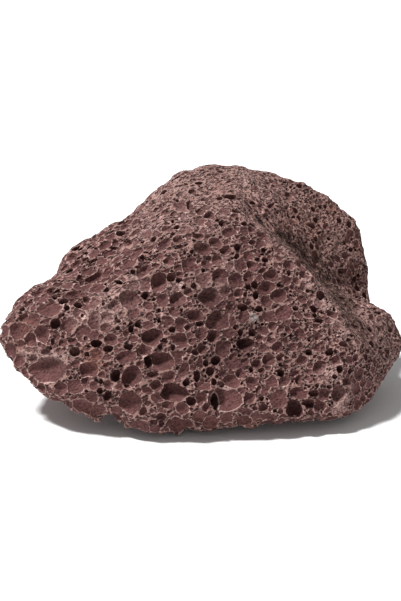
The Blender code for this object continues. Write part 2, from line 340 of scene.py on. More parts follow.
# Bubbles that are placed one by one: where each is seen in the front view, how wide and how high its
# mouth looks in mm, and what it is.
SEEN = [
    # nose
    (55, 323.5, 4.5, 4.5, HOLE), (75, 352, 3.7, 3.3, HOLE), (51, 369, 13.9, 9.0, BOWL),
    (33.5, 319.5, 4.9, 4.9, BOWL), (30.5, 339, 4.9, 4.9, POCKET), (15, 346, 2.2, 1.2, HOLE),
    (49, 342, 3.4, 3.4, BOWL), (52, 342, 1.5, 3.0, HOLE), (33.5, 349, 4.9, 3.0, BOWL),
    (45.5, 352, 3.7, 2.6, POCKET), (59, 352, 3.0, 3.7, BOWL), (19, 360, 5.2, 5.2, BOWL),
    (82, 333, 5.2, 6.7, BOWL), (85, 338, 1.5, 1.9, HOLE), (78, 315, 4.9, 4.9, BOWL),
    (82, 315, 1.5, 1.9, HOLE), (73, 341, 4.5, 3.0, POCKET), (67, 308, 2.0, 2.4, HOLE),
    (77.5, 304.5, 3.0, 1.9, HOLE), (63, 300.5, 4.0, 2.0, HOLE), (85.5, 298, 2.6, 2.2, HOLE),
    (96, 308, 1.3, 1.9, HOLE), (54, 295, 3.0, 1.5, HOLE), (20, 308, 3.0, 1.5, HOLE),
    (76, 364, 4.1, 3.4, BOWL), (89, 369, 7.1, 4.9, POCKET),
    (101, 382, 1.9, 2.2, HOLE), (96, 343, 4.1, 3.0, HOLE), (88, 346, 1.9, 1.2, HOLE),
    (111, 340, 6.0, 4.5, POCKET), (108, 349, 3.7, 2.6, HOLE),
    # left of the middle
    (128, 347, 3.4, 2.2, HOLE), (131, 329, 2.2, 2.6, HOLE), (138, 324, 2.2, 2.2, HOLE),
    (135, 313, 4.9, 6.0, BOWL), (148, 325, 4.5, 3.0, BOWL), (118, 321, 1.9, 1.5, HOLE),
    (122, 315, 2.6, 3.4, BOWL), (106, 316, 4.5, 3.4, BOWL), (94, 321, 4.5, 6.0, BOWL),
    (106, 327, 4.5, 3.4, BOWL), (150, 315, 3.0, 3.0, BOWL), (145.5, 296, 3.0, 3.0, HOLE),
    (154, 299, 1.9, 1.5, HOLE), (149, 306, 4.9, 3.7, BOWL), (133, 339, 3.7, 3.4, BOWL),
    (128, 357, 7.5, 4.5, BOWL), (108, 358, 3.7, 3.0, BOWL), (121, 366, 1.9, 1.5, HOLE),
    (106, 366, 2.2, 1.9, POCKET), (158, 362, 9.7, 6.7, CAVE), (151, 363, 3.6, 4.6, SHAFT),
    (133, 376, 7.1, 7.8, POCKET), (115, 376, 3.7, 4.9, HOLE),
    # middle of the front
    (178, 299, 6.4, 5.2, POCKET), (209, 297, 8.2, 6.7, POCKET), (164, 301, 4.9, 4.9, BOWL),
    (173, 312, 4.1, 4.9, BOWL), (196, 316, 6.4, 4.9, POCKET), (181, 324, 6.0, 4.5, BOWL),
    (188, 327, 2.2, 2.2, HOLE), (172, 329, 2.6, 2.6, HOLE), (200, 324, 3.0, 2.2, HOLE),
    (163, 340, 3.0, 1.9, HOLE), (160, 347, 1.9, 2.2, HOLE), (173, 347, 2.2, 3.0, HOLE),
    (197, 352, 3.0, 2.6, HOLE), (206, 363, 2.2, 2.6, HOLE), (210, 371, 3.0, 3.4, HOLE),
    (178, 368, 1.5, 1.9, HOLE), (159, 310, 1.5, 1.9, HOLE), (159, 320, 1.5, 2.2, HOLE),
    (182, 310, 1.2, 1.9, HOLE), (196, 296, 1.9, 1.9, HOLE), (192, 341, 2.6, 2.6, POCKET),
    (186, 359, 2.2, 1.9, POCKET), (191, 362, 2.2, 2.2, POCKET), (152, 375, 4.5, 2.6, POCKET),
    (246, 317, 4.9, 5.6, BOWL), (280, 296.5, 6.7, 6.0, POCKET), (243, 307, 4.1, 2.2, HOLE),
    (230, 308, 3.4, 3.4, BOWL), (259, 309, 3.4, 2.2, HOLE), (246, 344, 7.5, 4.9, CAVE),
    (273, 326, 4.5, 3.7, POCKET), (223, 375, 3.7, 3.0, BOWL), (241, 373, 3.7, 3.4, POCKET),
    (232, 350, 1.5, 2.2, HOLE), (217, 360, 3.4, 3.4, HOLE), (244, 362, 3.4, 3.0, BOWL),
    (262, 371, 2.6, 2.6, POCKET), (281, 365, 1.5, 1.5, HOLE), (255.5, 294.5, 2.2, 3.0, HOLE),
    (245.5, 294.5, 1.5, 2.6, HOLE), (232, 297, 3.4, 3.4, BOWL), (241, 332, 1.9, 2.6, HOLE),
    # foot
    (130, 403, 8.6, 7.1, POCKET), (175, 393, 9.3, 6.7, CAVE), (108, 397, 3.4, 3.0, HOLE),
    (117, 411, 4.5, 3.7, BOWL), (143, 412, 2.6, 3.4, POCKET), (147, 391, 5.2, 3.4, BOWL),
    (96, 410, 7.5, 4.5, BOWL), (168, 405, 4.5, 3.4, BOWL), (155, 408, 1.2, 1.0, HOLE),
    (108, 385, 3.0, 3.4, BOWL), (127, 386, 2.6, 1.9, HOLE), (137, 385, 2.2, 1.9, POCKET),
    (161, 418, 3.4, 3.4, HOLE), (162, 425, 2.2, 1.9, HOLE), (192, 401, 3.7, 3.7, HOLE),
    (229, 401, 10.1, 10.1, CAVE), (217, 401, 3.4, 6.4, SHAFT), (211, 400, 1.9, 4.5, HOLE),
    (218, 414, 1.5, 2.2, HOLE), (210, 414, 1.5, 2.6, POCKET), (199, 418, 5.2, 5.2, BOWL),
    (197, 376, 3.0, 4.1, HOLE), (214, 382, 2.2, 2.6, HOLE), (242, 383, 1.2, 1.5, HOLE),
    (259, 389, 1.9, 3.0, HOLE), (264, 391, 3.4, 4.5, BOWL), (262, 399, 1.9, 1.9, HOLE),
    (250, 398, 4.5, 4.1, BOWL), (242, 391, 3.4, 3.0, BOWL), (187, 382, 2.2, 3.0, HOLE),
    (251, 369, 1.9, 1.9, HOLE), (275, 411, 1.9, 1.5, HOLE),
    # right foot and scoop
    (298, 393, 6.7, 4.1, POCKET), (314, 393, 4.1, 2.6, HOLE), (309, 403, 5.6, 3.7, HOLE),
    (299, 380, 2.6, 4.1, POCKET), (283, 383, 3.7, 3.7, BOWL), (281, 373, 3.0, 3.0, HOLE),
    (340, 369, 2.6, 3.0, HOLE), (335, 377, 2.2, 1.9, HOLE), (348, 382, 3.7, 3.4, POCKET),
    (316, 380, 1.9, 3.0, POCKET), (326, 387, 2.2, 1.5, HOLE), (334, 385, 1.5, 1.5, HOLE),
    (312, 413, 2.6, 2.6, POCKET), (330, 417, 1.9, 1.9, HOLE), (302, 361, 4.5, 4.1, BOWL),
    (330, 405, 1.2, 1.2, HOLE), (319, 320, 3.0, 1.9, HOLE), (330, 332, 1.5, 3.0, POCKET),
    (349, 340, 2.2, 1.9, POCKET), (344, 354, 3.0, 2.2, POCKET), (335, 351, 1.5, 1.5, HOLE),
    (355, 351, 1.5, 1.5, HOLE), (356, 358, 2.2, 2.6, POCKET),
    # under the ridge
    (238, 247, 3.0, 3.0, HOLE), (237, 256, 2.2, 2.2, HOLE), (252, 266, 3.7, 4.1, CAVE),
    (263, 271, 3.0, 3.0, POCKET), (254.5, 285, 2.6, 3.0, HOLE), (270, 251.5, 1.5, 1.5, HOLE),
    (263.5, 250, 1.9, 2.2, HOLE), (265.5, 260, 2.6, 1.9, HOLE), (289, 272, 1.9, 2.2, HOLE),
    (298, 274, 1.9, 1.9, POCKET), (308, 291, 1.9, 1.9, HOLE), (223, 277, 7.5, 5.2, CAVE),
    (217, 260, 4.1, 3.7, BOWL), (206.5, 237.5, 4.5, 3.0, BOWL), (222, 223, 2.2, 2.2, HOLE),
    (237, 229, 3.0, 3.0, BOWL), (237.6, 219, 1.9, 1.9, POCKET), (224, 210, 4.5, 3.4, BOWL),
    # upper left face
    (189.7, 235.5, 3.4, 2.2, POCKET), (180, 247, 3.0, 2.2, POCKET), (176, 248, 1.5, 1.5, HOLE),
    (189, 256, 1.5, 1.0, HOLE), (195, 255, 1.2, 1.2, HOLE), (185, 252, 1.2, 1.2, HOLE),
    (160, 255, 3.0, 3.0, BOWL), (167, 271, 3.0, 1.9, POCKET), (169.6, 261, 4.9, 3.4, POCKET),
    (172, 277.7, 3.0, 3.7, HOLE), (189, 266, 4.9, 5.6, BOWL), (199.7, 262, 2.6, 2.6, POCKET),
    (203.5, 270, 1.9, 1.9, HOLE), (194.5, 285, 2.2, 2.6, HOLE), (188, 280, 3.0, 3.0, BOWL),
    (180, 274, 3.0, 2.6, BOWL), (193.7, 278, 1.2, 1.2, HOLE), (142, 242, 1.2, 1.2, HOLE),
    (146, 234, 3.7, 3.4, BOWL), (127.6, 243, 3.0, 2.6, POCKET), (127, 251, 4.5, 2.6, BOWL),
    (139.7, 257.5, 2.2, 3.0, HOLE), (156, 265, 3.7, 2.2, POCKET), (133, 271.6, 2.2, 2.2, HOLE),
    (113.6, 247.5, 2.2, 1.2, HOLE), (85.5, 253, 1.9, 1.2, HOLE), (113, 257, 1.9, 1.2, HOLE),
    (101, 261, 4.5, 3.0, BOWL), (95.5, 269.6, 1.5, 1.2, HOLE), (117, 272, 4.5, 2.2, BOWL),
    (80, 279, 2.6, 3.0, HOLE), (117.6, 281.6, 2.2, 1.9, HOLE), (122, 279, 4.9, 3.0, BOWL),
    (106.5, 290, 2.6, 1.9, HOLE),
    # crown and shoulder
    (230, 196, 5.2, 2.0, HOLE), (237.5, 198, 3.0, 1.1, HOLE), (190, 206, 3.0, 3.0, POCKET),
    (180, 205.5, 6.0, 4.5, BOWL), (193, 191.5, 3.7, 2.2, POCKET), (199, 183, 3.0, 1.2, HOLE),
    (186, 184, 1.9, 1.2, POCKET), (173, 221, 1.5, 1.5, HOLE), (177, 200, 1.2, 1.2, HOLE),
    (271.5, 206, 2.6, 2.2, POCKET), (287, 208, 1.9, 1.9, POCKET), (278, 213, 1.2, 1.2, HOLE),
    (281.5, 222, 1.5, 0.9, HOLE), (306.5, 242, 1.2, 1.2, HOLE), (319.5, 233, 1.5, 1.5, HOLE),
    (352.5, 282, 1.2, 2.2, HOLE), (348, 247, 1.2, 1.2, HOLE), (333, 257, 1.9, 1.2, HOLE),
]

# Froth between them, from darts thrown at the skin.
BIG_DARTS = 14000
FINE_DARTS = 60000
SPREAD = 0.42  # of the common bubbles' sizes, as the deviation of their logarithm
LARGEST = 1.8  # in common sizes
OVERLAP = (0.60, 0.92)  # least room a mouth needs, in its own radii
GROWTH = 1.2  # a common bubble with room grows by this much at most
FINE_GROWTH = (0.4, 1.0)  # a fine one grows to this share of the common size
DEEP_MOUTH = 2.0 * MM  # the wider the mouth, the seldomer it is a hole: hardly ever over this radius
LEAST_DEEP = 0.05
PULL = (0.3, 1.3)  # how much of its patch's stretch a bubble gets
SWAY = 0.3  # how far, in radians, its long side turns off its patch's slant
SPILL = (1.08, 1.42)  # how far a bowl runs past its room, into its neighbours

DART_CELL = 8.0 * MM
GROUP_CELL = 16.0 * MM
CLEARANCE = 1.03  # bubbles of one group are this much further apart than their reaches

Bubble = namedtuple("Bubble", "spot mouth centre shape reach")


def random_turn(chance):
    return Euler([chance.uniform(0, math.tau) for _ in range(3)]).to_matrix()


def bubble_at(spot, side, rise, normal, depth, sink, lean, chance):
    """A bubble whose mouth at the spot has the half widths side and rise.

    depth is its half depth, and sink how deep its middle lies, as a share of that depth. A bubble
    leans back below its mouth, along the drag: one wall is steep, the other open."""
    open_share = math.sqrt(1.0 - sink * sink)
    back = DRAG - normal * normal.dot(DRAG)
    axis = (normal - back * lean) * depth
    columns = Matrix((side / open_share, rise / open_share, axis)).transposed()
    centre = spot - axis * sink
    widest = max(side.length / open_share, rise.length / open_share, depth)
    mouth = math.sqrt(side.length * rise.length)
    return Bubble(spot, mouth, centre, columns @ random_turn(chance), widest * (1.0 + LEAN_REACH * lean))


def placed_bubbles(skin, camera, chance):
    """The listed bubbles, each where its line of sight meets the skin."""
    right = Vector((1.0, 0.0, 0.0))
    found = []
    for across, down, wide, high, name in SEEN:
        start, sight = line_of_sight(camera, across, down)
        spot, normal, _, _ = skin.ray_cast(start, sight)
        if spot is None:
            continue
        up = right.cross(sight)
        facing = max(LEAST_FACING, -sight.dot(normal))
        side = (right + sight * (right.dot(normal) / facing)) * (wide * MM / 2)
        rise = (up + sight * (up.dot(normal) / facing)) * (high * MM / 2)
        mean = math.sqrt(side.length * rise.length)
        kind = KINDS[name]
        depth = mean * chance.uniform(*kind.depth)
        sink = chance.uniform(*kind.sink)
        if mean > WIDE_MOUTH:
            sink = min(sink, kind.wide_sink)
        found.append(bubble_at(spot, side, rise, normal, depth, sink, kind.lean, chance))
    return found


class Field:
    """Points with a size or a group, kept in cells, for finding those near a place."""

    def __init__(self, cell):
        self.cell = cell
        self.cells = {}

    def key(self, point):
        return tuple(int(math.floor(value / self.cell)) for value in point)

    def add(self, point, what):
        self.cells.setdefault(self.key(point), []).append((point, what))

    def near(self, point):
        x, y, z = self.key(point)
        for i in (x - 1, x, x + 1):
            for j in (y - 1, y, y + 1):
                for k in (z - 1, z, z + 1):
                    yield from self.cells.get((i, j, k), ())

    def room(self, point):
        """How far the point is from the edge of the nearest disc."""
        return min(((other - point).length - disc for other, disc in self.near(point)), default=FAR)


def scattered(mesh, count, chance):
    """Points spread evenly over a mesh of triangles, each with its face's normal."""
    mesh.calc_loop_triangles()
    triangles = mesh.loop_triangles
    areas = [triangle.area for triangle in triangles]
    points = []
    normals = []
    for triangle in chance.choices(triangles, weights=areas, k=count):
        a, b, c = (mesh.vertices[index].co for index in triangle.vertices)
        u, v = chance.random(), chance.random()
        if u + v > 1.0:
            u, v = 1.0 - u, 1.0 - v
        points.append(a + (b - a) * u + (c - a) * v)
        normals.append(triangle.normal.copy())
    return points, normals


def throw_darts(rows, chance):
    """What each dart's bubble would be: the common bubbles from the biggest down, then the fine ones."""
    darts = []
    for index, (fine, common, crowd, deep, stretch, right, up) in enumerate(rows.tolist()):
        big = index < BIG_DARTS
        if big and chance.random() > crowd:
            continue
        radius = fine
        if big:
            radius = max(fine, min(common * math.exp(chance.gauss(0.0, SPREAD)), LARGEST * common))
        darts.append((radius * MM, index, deep, common * MM, stretch, Vector((right, 0.0, up))))
    darts.sort(key=lambda dart: (dart[1] >= BIG_DARTS, -dart[0]))
    return darts


def froth_bubble(spot, normal, radius, deep, stretch, flow, chance):
    """One bubble of the froth, of a random kind, drawn out along the flow."""
    along = (flow - normal * flow.dot(normal)).normalized()
    pull = math.sqrt(1.0 + (stretch - 1.0) * chance.uniform(*PULL))
    turn = Matrix.Rotation(chance.gauss(0.0, SWAY), 3, normal)
    side = turn @ along * (radius * pull)
    rise = turn @ normal.cross(along) * (radius / pull)
    name = HOLE if chance.random() < deep else chance.choice((BOWL, BOWL, POCKET))
    if name != HOLE:
        spill = chance.uniform(*SPILL)
        side *= spill
        rise *= spill
    kind = KINDS[name]
    depth = radius * chance.uniform(*kind.depth)
    sink = chance.uniform(*kind.sink)
    lean = chance.uniform(0.0, kind.lean)
    return bubble_at(spot, side, rise, normal, depth, sink, lean, chance)


def froth_bubbles(mesh, froth, placed, chance):
    """Bubbles that fill the skin between the listed ones, from the big ones to the fine ones."""
    field = Field(DART_CELL)
    for bubble in placed:
        field.add(bubble.spot, bubble.mouth)
    points, normals = scattered(mesh, BIG_DARTS + FINE_DARTS, chance)
    found = []
    for radius, index, deep, common, stretch, flow in throw_darts(froth.at(points), chance):
        room = field.room(points[index])
        if room < radius * chance.uniform(*OVERLAP):
            continue
        most = GROWTH * radius if index < BIG_DARTS else common * chance.uniform(*FINE_GROWTH)
        radius = max(radius, min(room, most))
        field.add(points[index], radius)
        deep *= min(max((DEEP_MOUTH - radius) / MM, LEAST_DEEP), 1.0)
        found.append(froth_bubble(points[index], normals[index], radius, deep, stretch, flow, chance))
    return found


def apart(bubbles):
    """The bubbles in groups, so that no two of a group touch."""
    field = Field(GROUP_CELL)
    groups = []
    for bubble in sorted(bubbles, key=lambda one: -one.reach):
        taken = set()
        for other, (reach, group) in field.near(bubble.centre):
            if (other - bubble.centre).length < CLEARANCE * (reach + bubble.reach):
                taken.add(group)
        group = next(index for index in range(len(taken) + 1) if index not in taken)
        field.add(bubble.centre, (bubble.reach, group))
        if group == len(groups):
            groups.append([])
        groups[group].append(bubble)
    return groups


def add_ball(bm, size, place):
    if size < PIT:
        bmesh.ops.create_uvsphere(bm, u_segments=PIT_SIDES, v_segments=2, radius=PIT_RADIUS, matrix=place)
        return
    rounds = 1 + sum(size > step for step in ROUNDER)
    bmesh.ops.create_icosphere(bm, subdivisions=rounds, radius=1.0, matrix=place)


def bubbles_mesh(name, bubbles):
    """One mesh of separate closed bubbles, each a little out of round."""
    mesh = bpy.data.meshes.new(name)
    joined = bmesh.new()
    for bubble in bubbles:
        one = bmesh.new()
        add_ball(one, bubble.mouth, Matrix.Translation(bubble.centre) @ bubble.shape.to_4x4())
        for vert in one.verts:
            bulge = noise.noise_vector(vert.co / (BULGE * bubble.reach)) * BULGE_HEIGHT
            dent = noise.noise_vector(vert.co / (DENT * bubble.reach)) * DENT_HEIGHT
            vert.co += (bulge + dent) * bubble.mouth
        one.to_mesh(mesh)
        one.free()
        joined.from_mesh(mesh)
    joined.to_mesh(mesh)
    joined.free()
    return mesh


# ---------------------------------------------------------------- skin

SKIN_VOXEL = 1.4 * MM  # cells of the grid that the skin is worked on
SAME_POINT = 0.01 * MM
EASE = 0.5  # how far each round of smoothing takes out the grid's steps
EASE_ROUNDS = 4
UNEVEN = ((6.0, 0.9), (3.0, 0.5))  # size and height, in mm, of the humps that a break leaves
FADE = 1.5  # how fast a fold falls off to its sides


def shown(name, mesh):
    obj = bpy.data.objects.new(name, mesh)
    bpy.context.scene.collection.objects.link(obj)
    return obj


def finished(obj, name):
    """A new mesh with the object's modifiers applied; the object goes."""
    graph = bpy.context.evaluated_depsgraph_get()
    mesh = bpy.data.meshes.new_from_object(obj.evaluated_get(graph))
    mesh.name = name
    bpy.data.objects.remove(obj)
    return mesh


def surface(mesh):
    return BVHTree.FromPolygons([v.co for v in mesh.vertices], [p.vertices for p in mesh.polygons])


def keep_in_box(vert):
    """Moves a point that stands out of the frame's box back to it."""
    for axis in range(3):
        vert.co[axis] = min(max(vert.co[axis], CAD_LOW[axis]), CAD_HIGH[axis])


def gridded_lump():
    """A copy of the frame's lump, its faces made an even grid."""
    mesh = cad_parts["lava_rock"].data.copy()
    bm = bmesh.new()
    bm.from_mesh(mesh)
    bmesh.ops.remove_doubles(bm, verts=bm.verts, dist=SAME_POINT)
    bm.to_mesh(mesh)
    bm.free()
    rough = shown("rough", mesh)
    grid = rough.modifiers.new("grid", "REMESH")
    grid.mode = "VOXEL"
    grid.voxel_size = SKIN_VOXEL
    ease = rough.modifiers.new("ease", "SMOOTH")
    ease.factor = EASE
    ease.iterations = EASE_ROUNDS
    return finished(rough, "skin")


def broken_skin():
    """The lump's form from the frame, with the uneven surface of a break."""
    skin = gridded_lump()
    bm = bmesh.new()
    bm.from_mesh(skin)
    bm.normal_update()
    moves = []
    for vert in bm.verts:
        height = sum(high * noise.noise(vert.co / (size * MM)) for size, high in UNEVEN)
        moves.append(vert.normal * height * MM)
    for vert, move in zip(bm.verts, moves):
        vert.co += move
        keep_in_box(vert)
    bmesh.ops.triangulate(bm, faces=bm.faces)
    bm.to_mesh(skin)
    bm.free()
    return skin


def crease(skin, camera):
    """Sharpens the folds, which the grid has rounded."""
    before = surface(skin)
    points = np.array([vert.co for vert in skin.vertices])
    normals = np.array([vert.normal for vert in skin.vertices])
    move = np.zeros(len(points))
    for line, reach, height in CREASES:
        away = away_from(seen_line(before, camera, line), points) / (reach * MM)
        move += np.clip(1.0 - away, 0.0, 1.0) ** FADE * height * MM
    points += normals * move[:, None]
    points = np.clip(points, np.array(CAD_LOW), np.array(CAD_HIGH))
    skin.vertices.foreach_set("co", points.ravel())


# ---------------------------------------------------------------- cutting and wear

FACE = 0  # a face of the break
WALL = 1  # a bubble's wall
TRIANGLES = 196000  # the lump is thinned to about this many triangles; a little under the most that one piece may have
KNIFE = math.radians(100)  # an edge sharper than this breaks off
WEAR = 0.5  # of the way back to the points round it
WEAR_ROUNDS = 2
CRUMB = 0.9 * MM  # size of the crumbs, and how far they push a point
CRUMB_MOVE = 0.24 * MM
FULL_RIM = math.radians(75)  # an edge this sharp is pale all through


def cut_bubbles(skin, groups):
    """The skin with every bubble cut out. The finished faces know whether they are FACE or WALL."""
    materials = [bpy.data.materials.new(name) for name in ("face", "wall")]
    skin.materials.clear()
    skin.materials.append(materials[FACE])
    lump = shown("lump", skin)
    cutters = []
    for index, group in enumerate(groups):
        mesh = bubbles_mesh(f"bubbles_{index}", group)
        mesh.materials.append(materials[WALL])
        cutter = shown(mesh.name, mesh)
        cutters.append(cutter)
        cut = lump.modifiers.new(mesh.name, "BOOLEAN")
        cut.operation = "DIFFERENCE"
        cut.solver = "MANIFOLD"
        cut.material_mode = "TRANSFER"
        cut.object = cutter
    mesh = finished(lump, "cut")
    for cutter in cutters:
        bpy.data.objects.remove(cutter)
    return mesh


def largest_piece(bm):
    """Deletes every chip and sealed bubble, and leaves the lump."""
    seen = set()
    pieces = []
    for start in bm.verts:
        if start in seen:
            continue
        seen.add(start)
        piece = [start]
        for vert in piece:
            for edge in vert.link_edges:
                other = edge.other_vert(vert)
                if other not in seen:
                    seen.add(other)
                    piece.append(other)
        pieces.append(piece)
    pieces.sort(key=len)
    loose = [vert for piece in pieces[:-1] for vert in piece]
    bmesh.ops.delete(bm, geom=loose, context="VERTS")


def thinned(mesh):
    """The lump alone, in no more triangles than a piece may have."""
    bm = bmesh.new()
    bm.from_mesh(mesh)
    bmesh.ops.triangulate(bm, faces=bm.faces)
    largest_piece(bm)
    bm.to_mesh(mesh)
    count = len(bm.faces)
    bm.free()
    lump = shown("lump", mesh)
    thin = lump.modifiers.new("thin", "DECIMATE")
    thin.ratio = min(1.0, TRIANGLES / count)
    return finished(lump, "scoria_lump")


def sharpest_fold(vert):
    """The sharpest outward edge at a point, as an angle."""
    return max((edge.calc_face_angle_signed(0.0) for edge in vert.link_edges), default=0.0)


def blunt(bm):
    """Wears down every knife edge: thin walls between bubbles break off first."""
    moves = []
    for vert in bm.verts:
        if sharpest_fold(vert) > KNIFE:
            others = [edge.other_vert(vert).co for edge in vert.link_edges]
            moves.append((vert, vert.co.lerp(sum(others, Vector()) / len(others), WEAR)))
    for vert, place in moves:
        vert.co = place


def crumble(mesh):
    """Blunts the edges and moves every point a little, so that no rim is a clean line."""
    bm = bmesh.new()
    bm.from_mesh(mesh)
    for _ in range(WEAR_ROUNDS):
        blunt(bm)
    bm.to_mesh(mesh)
    bm.free()
    for vert in mesh.vertices:
        vert.co += noise.noise_vector(vert.co / CRUMB) * CRUMB_MOVE
        keep_in_box(vert)


# ---------------------------------------------------------------- what the finish needs to know

# Where the rock is another colour, or has painted light or shade on it: the spot in the front view, the
# stain's reach in mm, and how strong it is. Dust is pale grit rubbed into the pores, and is also a
# painted highlight on the crown, the shoulder and the ridge; chalk a white speck of it; Olive a dark skin
# of weathered glass, and also painted shade in the gully behind the ridge; rust an ochre. Painted shade
# darkens the front's middle and the valley, and drawn rock has its froth in streaks.
STAINS = {
    # pale grit, and a painted highlight on the crown, the shoulder and round the ridge
    "dust_and_highlight": [
        (300, 200, 14, 0.20), (335, 232, 14, 0.20), (285, 190, 10, 0.20),
        (375, 315, 8, 0.30), (382, 345, 8, 0.35),
        (190, 178, 15, 0.40), (225, 178, 16, 0.45), (215, 195, 12, 0.35), (255, 184, 12, 0.25),
        (150, 222, 12, 0.30), (185, 222, 12, 0.30), (158, 197, 6, 0.6), (146, 208, 5, 0.6),
        (171, 184, 6, 0.5),
        (110, 305, 8, 0.75), (98, 312, 5, 0.6), (122, 298, 6, 0.6), (137, 280, 5, 0.65),
        (205, 285, 6, 0.35), (216, 288, 5, 0.35), (229, 263, 4, 0.40), (172, 288, 5, 0.45),
        (327, 372, 4, 1.0), (334, 368, 3, 0.9), (336, 384, 3.5, 0.8), (341, 408, 4, 0.9),
        (342, 396, 4, 0.9),
        (335, 323, 2.2, 0.9), (344, 334, 2.0, 0.8), (309, 287, 2.5, 0.9), (304, 277, 2.2, 0.8),
        (318, 298, 3, 0.6), (326, 304, 2.2, 0.7), (288, 259, 2.0, 0.5), (296, 267, 2.0, 0.6),
        (24, 352, 2.5, 0.8), (30, 356, 2.5, 0.9), (38, 357, 2.5, 0.9), (46, 358, 2.5, 0.9),
        (55, 357, 2.5, 0.9), (62, 358, 2.5, 0.7), (68, 355, 2.5, 0.8),
        (312, 425, 4, 0.5), (350, 392, 4, 0.4), (75, 318, 4, 0.4),
    ],
    "chalk": [(255, 319, 1.2, 1.0), (253, 315, 0.8, 0.8)],
    # a dark skin of weathered glass, and painted shade in the gully behind the ridge
    "olive_and_shade": [
        (258, 222, 3.5, 0.45), (266, 229, 3.5, 0.6), (275, 236, 4, 0.9), (283, 244, 4, 1.0),
        (292, 251, 4, 1.0), (301, 259, 4, 1.0), (309, 267, 4, 1.0), (317, 276, 4, 1.0),
        (325, 286, 4, 1.0), (333, 297, 4, 1.0), (341, 309, 4, 0.9), (350, 321, 4, 0.8),
        (318, 258, 6, 0.35), (332, 275, 6, 0.35), (345, 298, 6, 0.35), (361, 336, 5, 0.7),
    ],
    # painted shade: darkens the front's middle and the valley
    "painted_shade": [
        (222, 305, 11, 0.8), (240, 320, 9, 0.7), (238, 355, 10, 0.8), (215, 345, 8, 0.6),
        (285, 345, 9, 0.4), (262, 330, 7, 0.4), (270, 290, 7, 0.4),
    ],
    "drawn": [(300, 230, 9, 0.7), (340, 270, 10, 0.7), (240, 200, 8, 0.6)],
    "rust": [
        (92, 356, 3.5, 0.9), (96, 365, 3, 0.8), (86, 350, 2.5, 0.5), (255, 425, 3.5, 0.7),
        (359, 248, 4, 0.6), (333, 209, 4, 0.6), (294, 215, 5, 0.5), (287, 225, 4, 0.4),
        (25, 325, 4, 0.5), (20, 345, 4, 0.4), (348, 240, 5, 0.3), (240, 300, 3, 0.3),
        (222, 186, 7, 0.3), (118, 420, 4, 0.4), (210, 423, 4, 0.4),
        (315, 225, 13, 0.30), (352, 280, 8, 0.25),
    ],
}
# The same along lines.
STAIN_LINES = {
    # a painted highlight along the ridge, and pale grit along the nose lip
    "dust_and_highlight": [(RIDGE, 1.0, 0.5), (NOSE_LIP, 0.9, 1.0)],
    # painted shade along the gully, with the skin's olive tint
    "olive_and_shade": [(LOW_GULLY, 4.4, 0.95)],
    "drawn": [(GULLY, 9.0, 1.0)],
}
STAIN_EDGE = 1.3  # a stain is gone at this many reaches, and full within STAIN_EDGE - 1


def store(mesh, name, domain, values):
    mesh.attributes.new(name, "FLOAT", domain).data.foreach_set("value", values)


def store_stains(mesh, skin, camera):
    """How strongly each stain, and each patch of painted light or shade, colours each point, from 0 to 1.
    """
    points = np.empty(len(mesh.vertices) * 3)
    mesh.vertices.foreach_get("co", points)
    points = points.reshape(-1, 3)
    for name, spots in STAINS.items():
        strength = np.zeros(len(points))
        for line, reach, most in STAIN_LINES.get(name, ()):
            away = away_from(seen_line(skin, camera, line), points) / (reach * MM)
            strength = np.maximum(strength, most * np.clip(STAIN_EDGE - away, 0.0, 1.0))
        for across, down, reach, most in spots:
            for spot in seen_line(skin, camera, [(across, down)]):
                away = np.linalg.norm(points - spot, axis=1) / (reach * MM)
                strength = np.maximum(strength, most * np.clip(STAIN_EDGE - away, 0.0, 1.0))
        store(mesh, name, "POINT", strength)


def store_rims(mesh):
    """How sharp an outward edge each point stands on, from 0 to 1, and which faces are bubble walls."""
    bm = bmesh.new()
    bm.from_mesh(mesh)
    store(mesh, "rim", "POINT", [min(max(sharpest_fold(vert) / FULL_RIM, 0.0), 1.0) for vert in bm.verts])
    store(mesh, "wall", "FACE", [float(face.material_index == WALL) for face in bm.faces])
    bm.free()


def store_depth(mesh, skin):
    """How far each point lies from the uncut skin, in mm."""
    store(mesh, "depth_mm", "POINT", [skin.find_nearest(vert.co)[3] / MM for vert in mesh.vertices])


def broken_lump(camera):
    """The lump with its bubbles, and the ways its froth was drawn out along the gully and the grain."""
    chance = random.Random(SEED)
    skin = broken_skin()
    crease(skin, camera)
    uncut = surface(skin)
    placed = placed_bubbles(uncut, camera, chance)
    froth = froth_bubbles(skin, FrothMap(uncut, camera), placed, chance)
    flow_start, flow_end = seen_line(uncut, camera, (GULLY[1], GULLY[-2]))
    grain_start, grain_end = seen_line(uncut, camera, GRAIN)
    mesh = thinned(cut_bubbles(skin, apart(placed + froth)))
    crumble(mesh)
    store_stains(mesh, uncut, camera)
    store_rims(mesh)
    store_depth(mesh, uncut)
    return mesh, flow_end - flow_start, grain_end - grain_start


# ---------------------------------------------------------------- finish

# Red scoria is basalt froth whose iron rusted while it was hot. Bubbles are lined with smooth dull glass;
# the break between them is rough, dark in its pits, the finest of them with painted shade, and pale where
# thin glass has chipped, partly a painted highlight.
LINING = ("#4A2B29", "#5E3C3A")
BREAK = ("#2F1A18", "#6E4B47")
# painted shade: the dark cores of the finest pits, which are too fine to cut
FINE_PIT_SHADE = "#200F0E"
FINE_WALL = "#8F6E67"
# painted shade: this tint darkens the front's middle and the valley
PAINTED_SHADE_TINT = "#CFC8C9"  # multiplies what lies under it
ROUGHNESS = 0.9
SPECULAR = 0.3
LINING_GRAIN = 0.42  # how much of the grit shows in the linings
# What lies over the stone: its colour, the values of its pattern where it starts and where it is
# full, and how much of it shows at each.
Coat = namedtuple("Coat", "colour start full least most")
# pale chipped glass, and a painted highlight on the rims
CHIPPED_AND_HIGHLIGHT = Coat("#BD9E96", 0.38, 0.54, 0.0, 1.0)
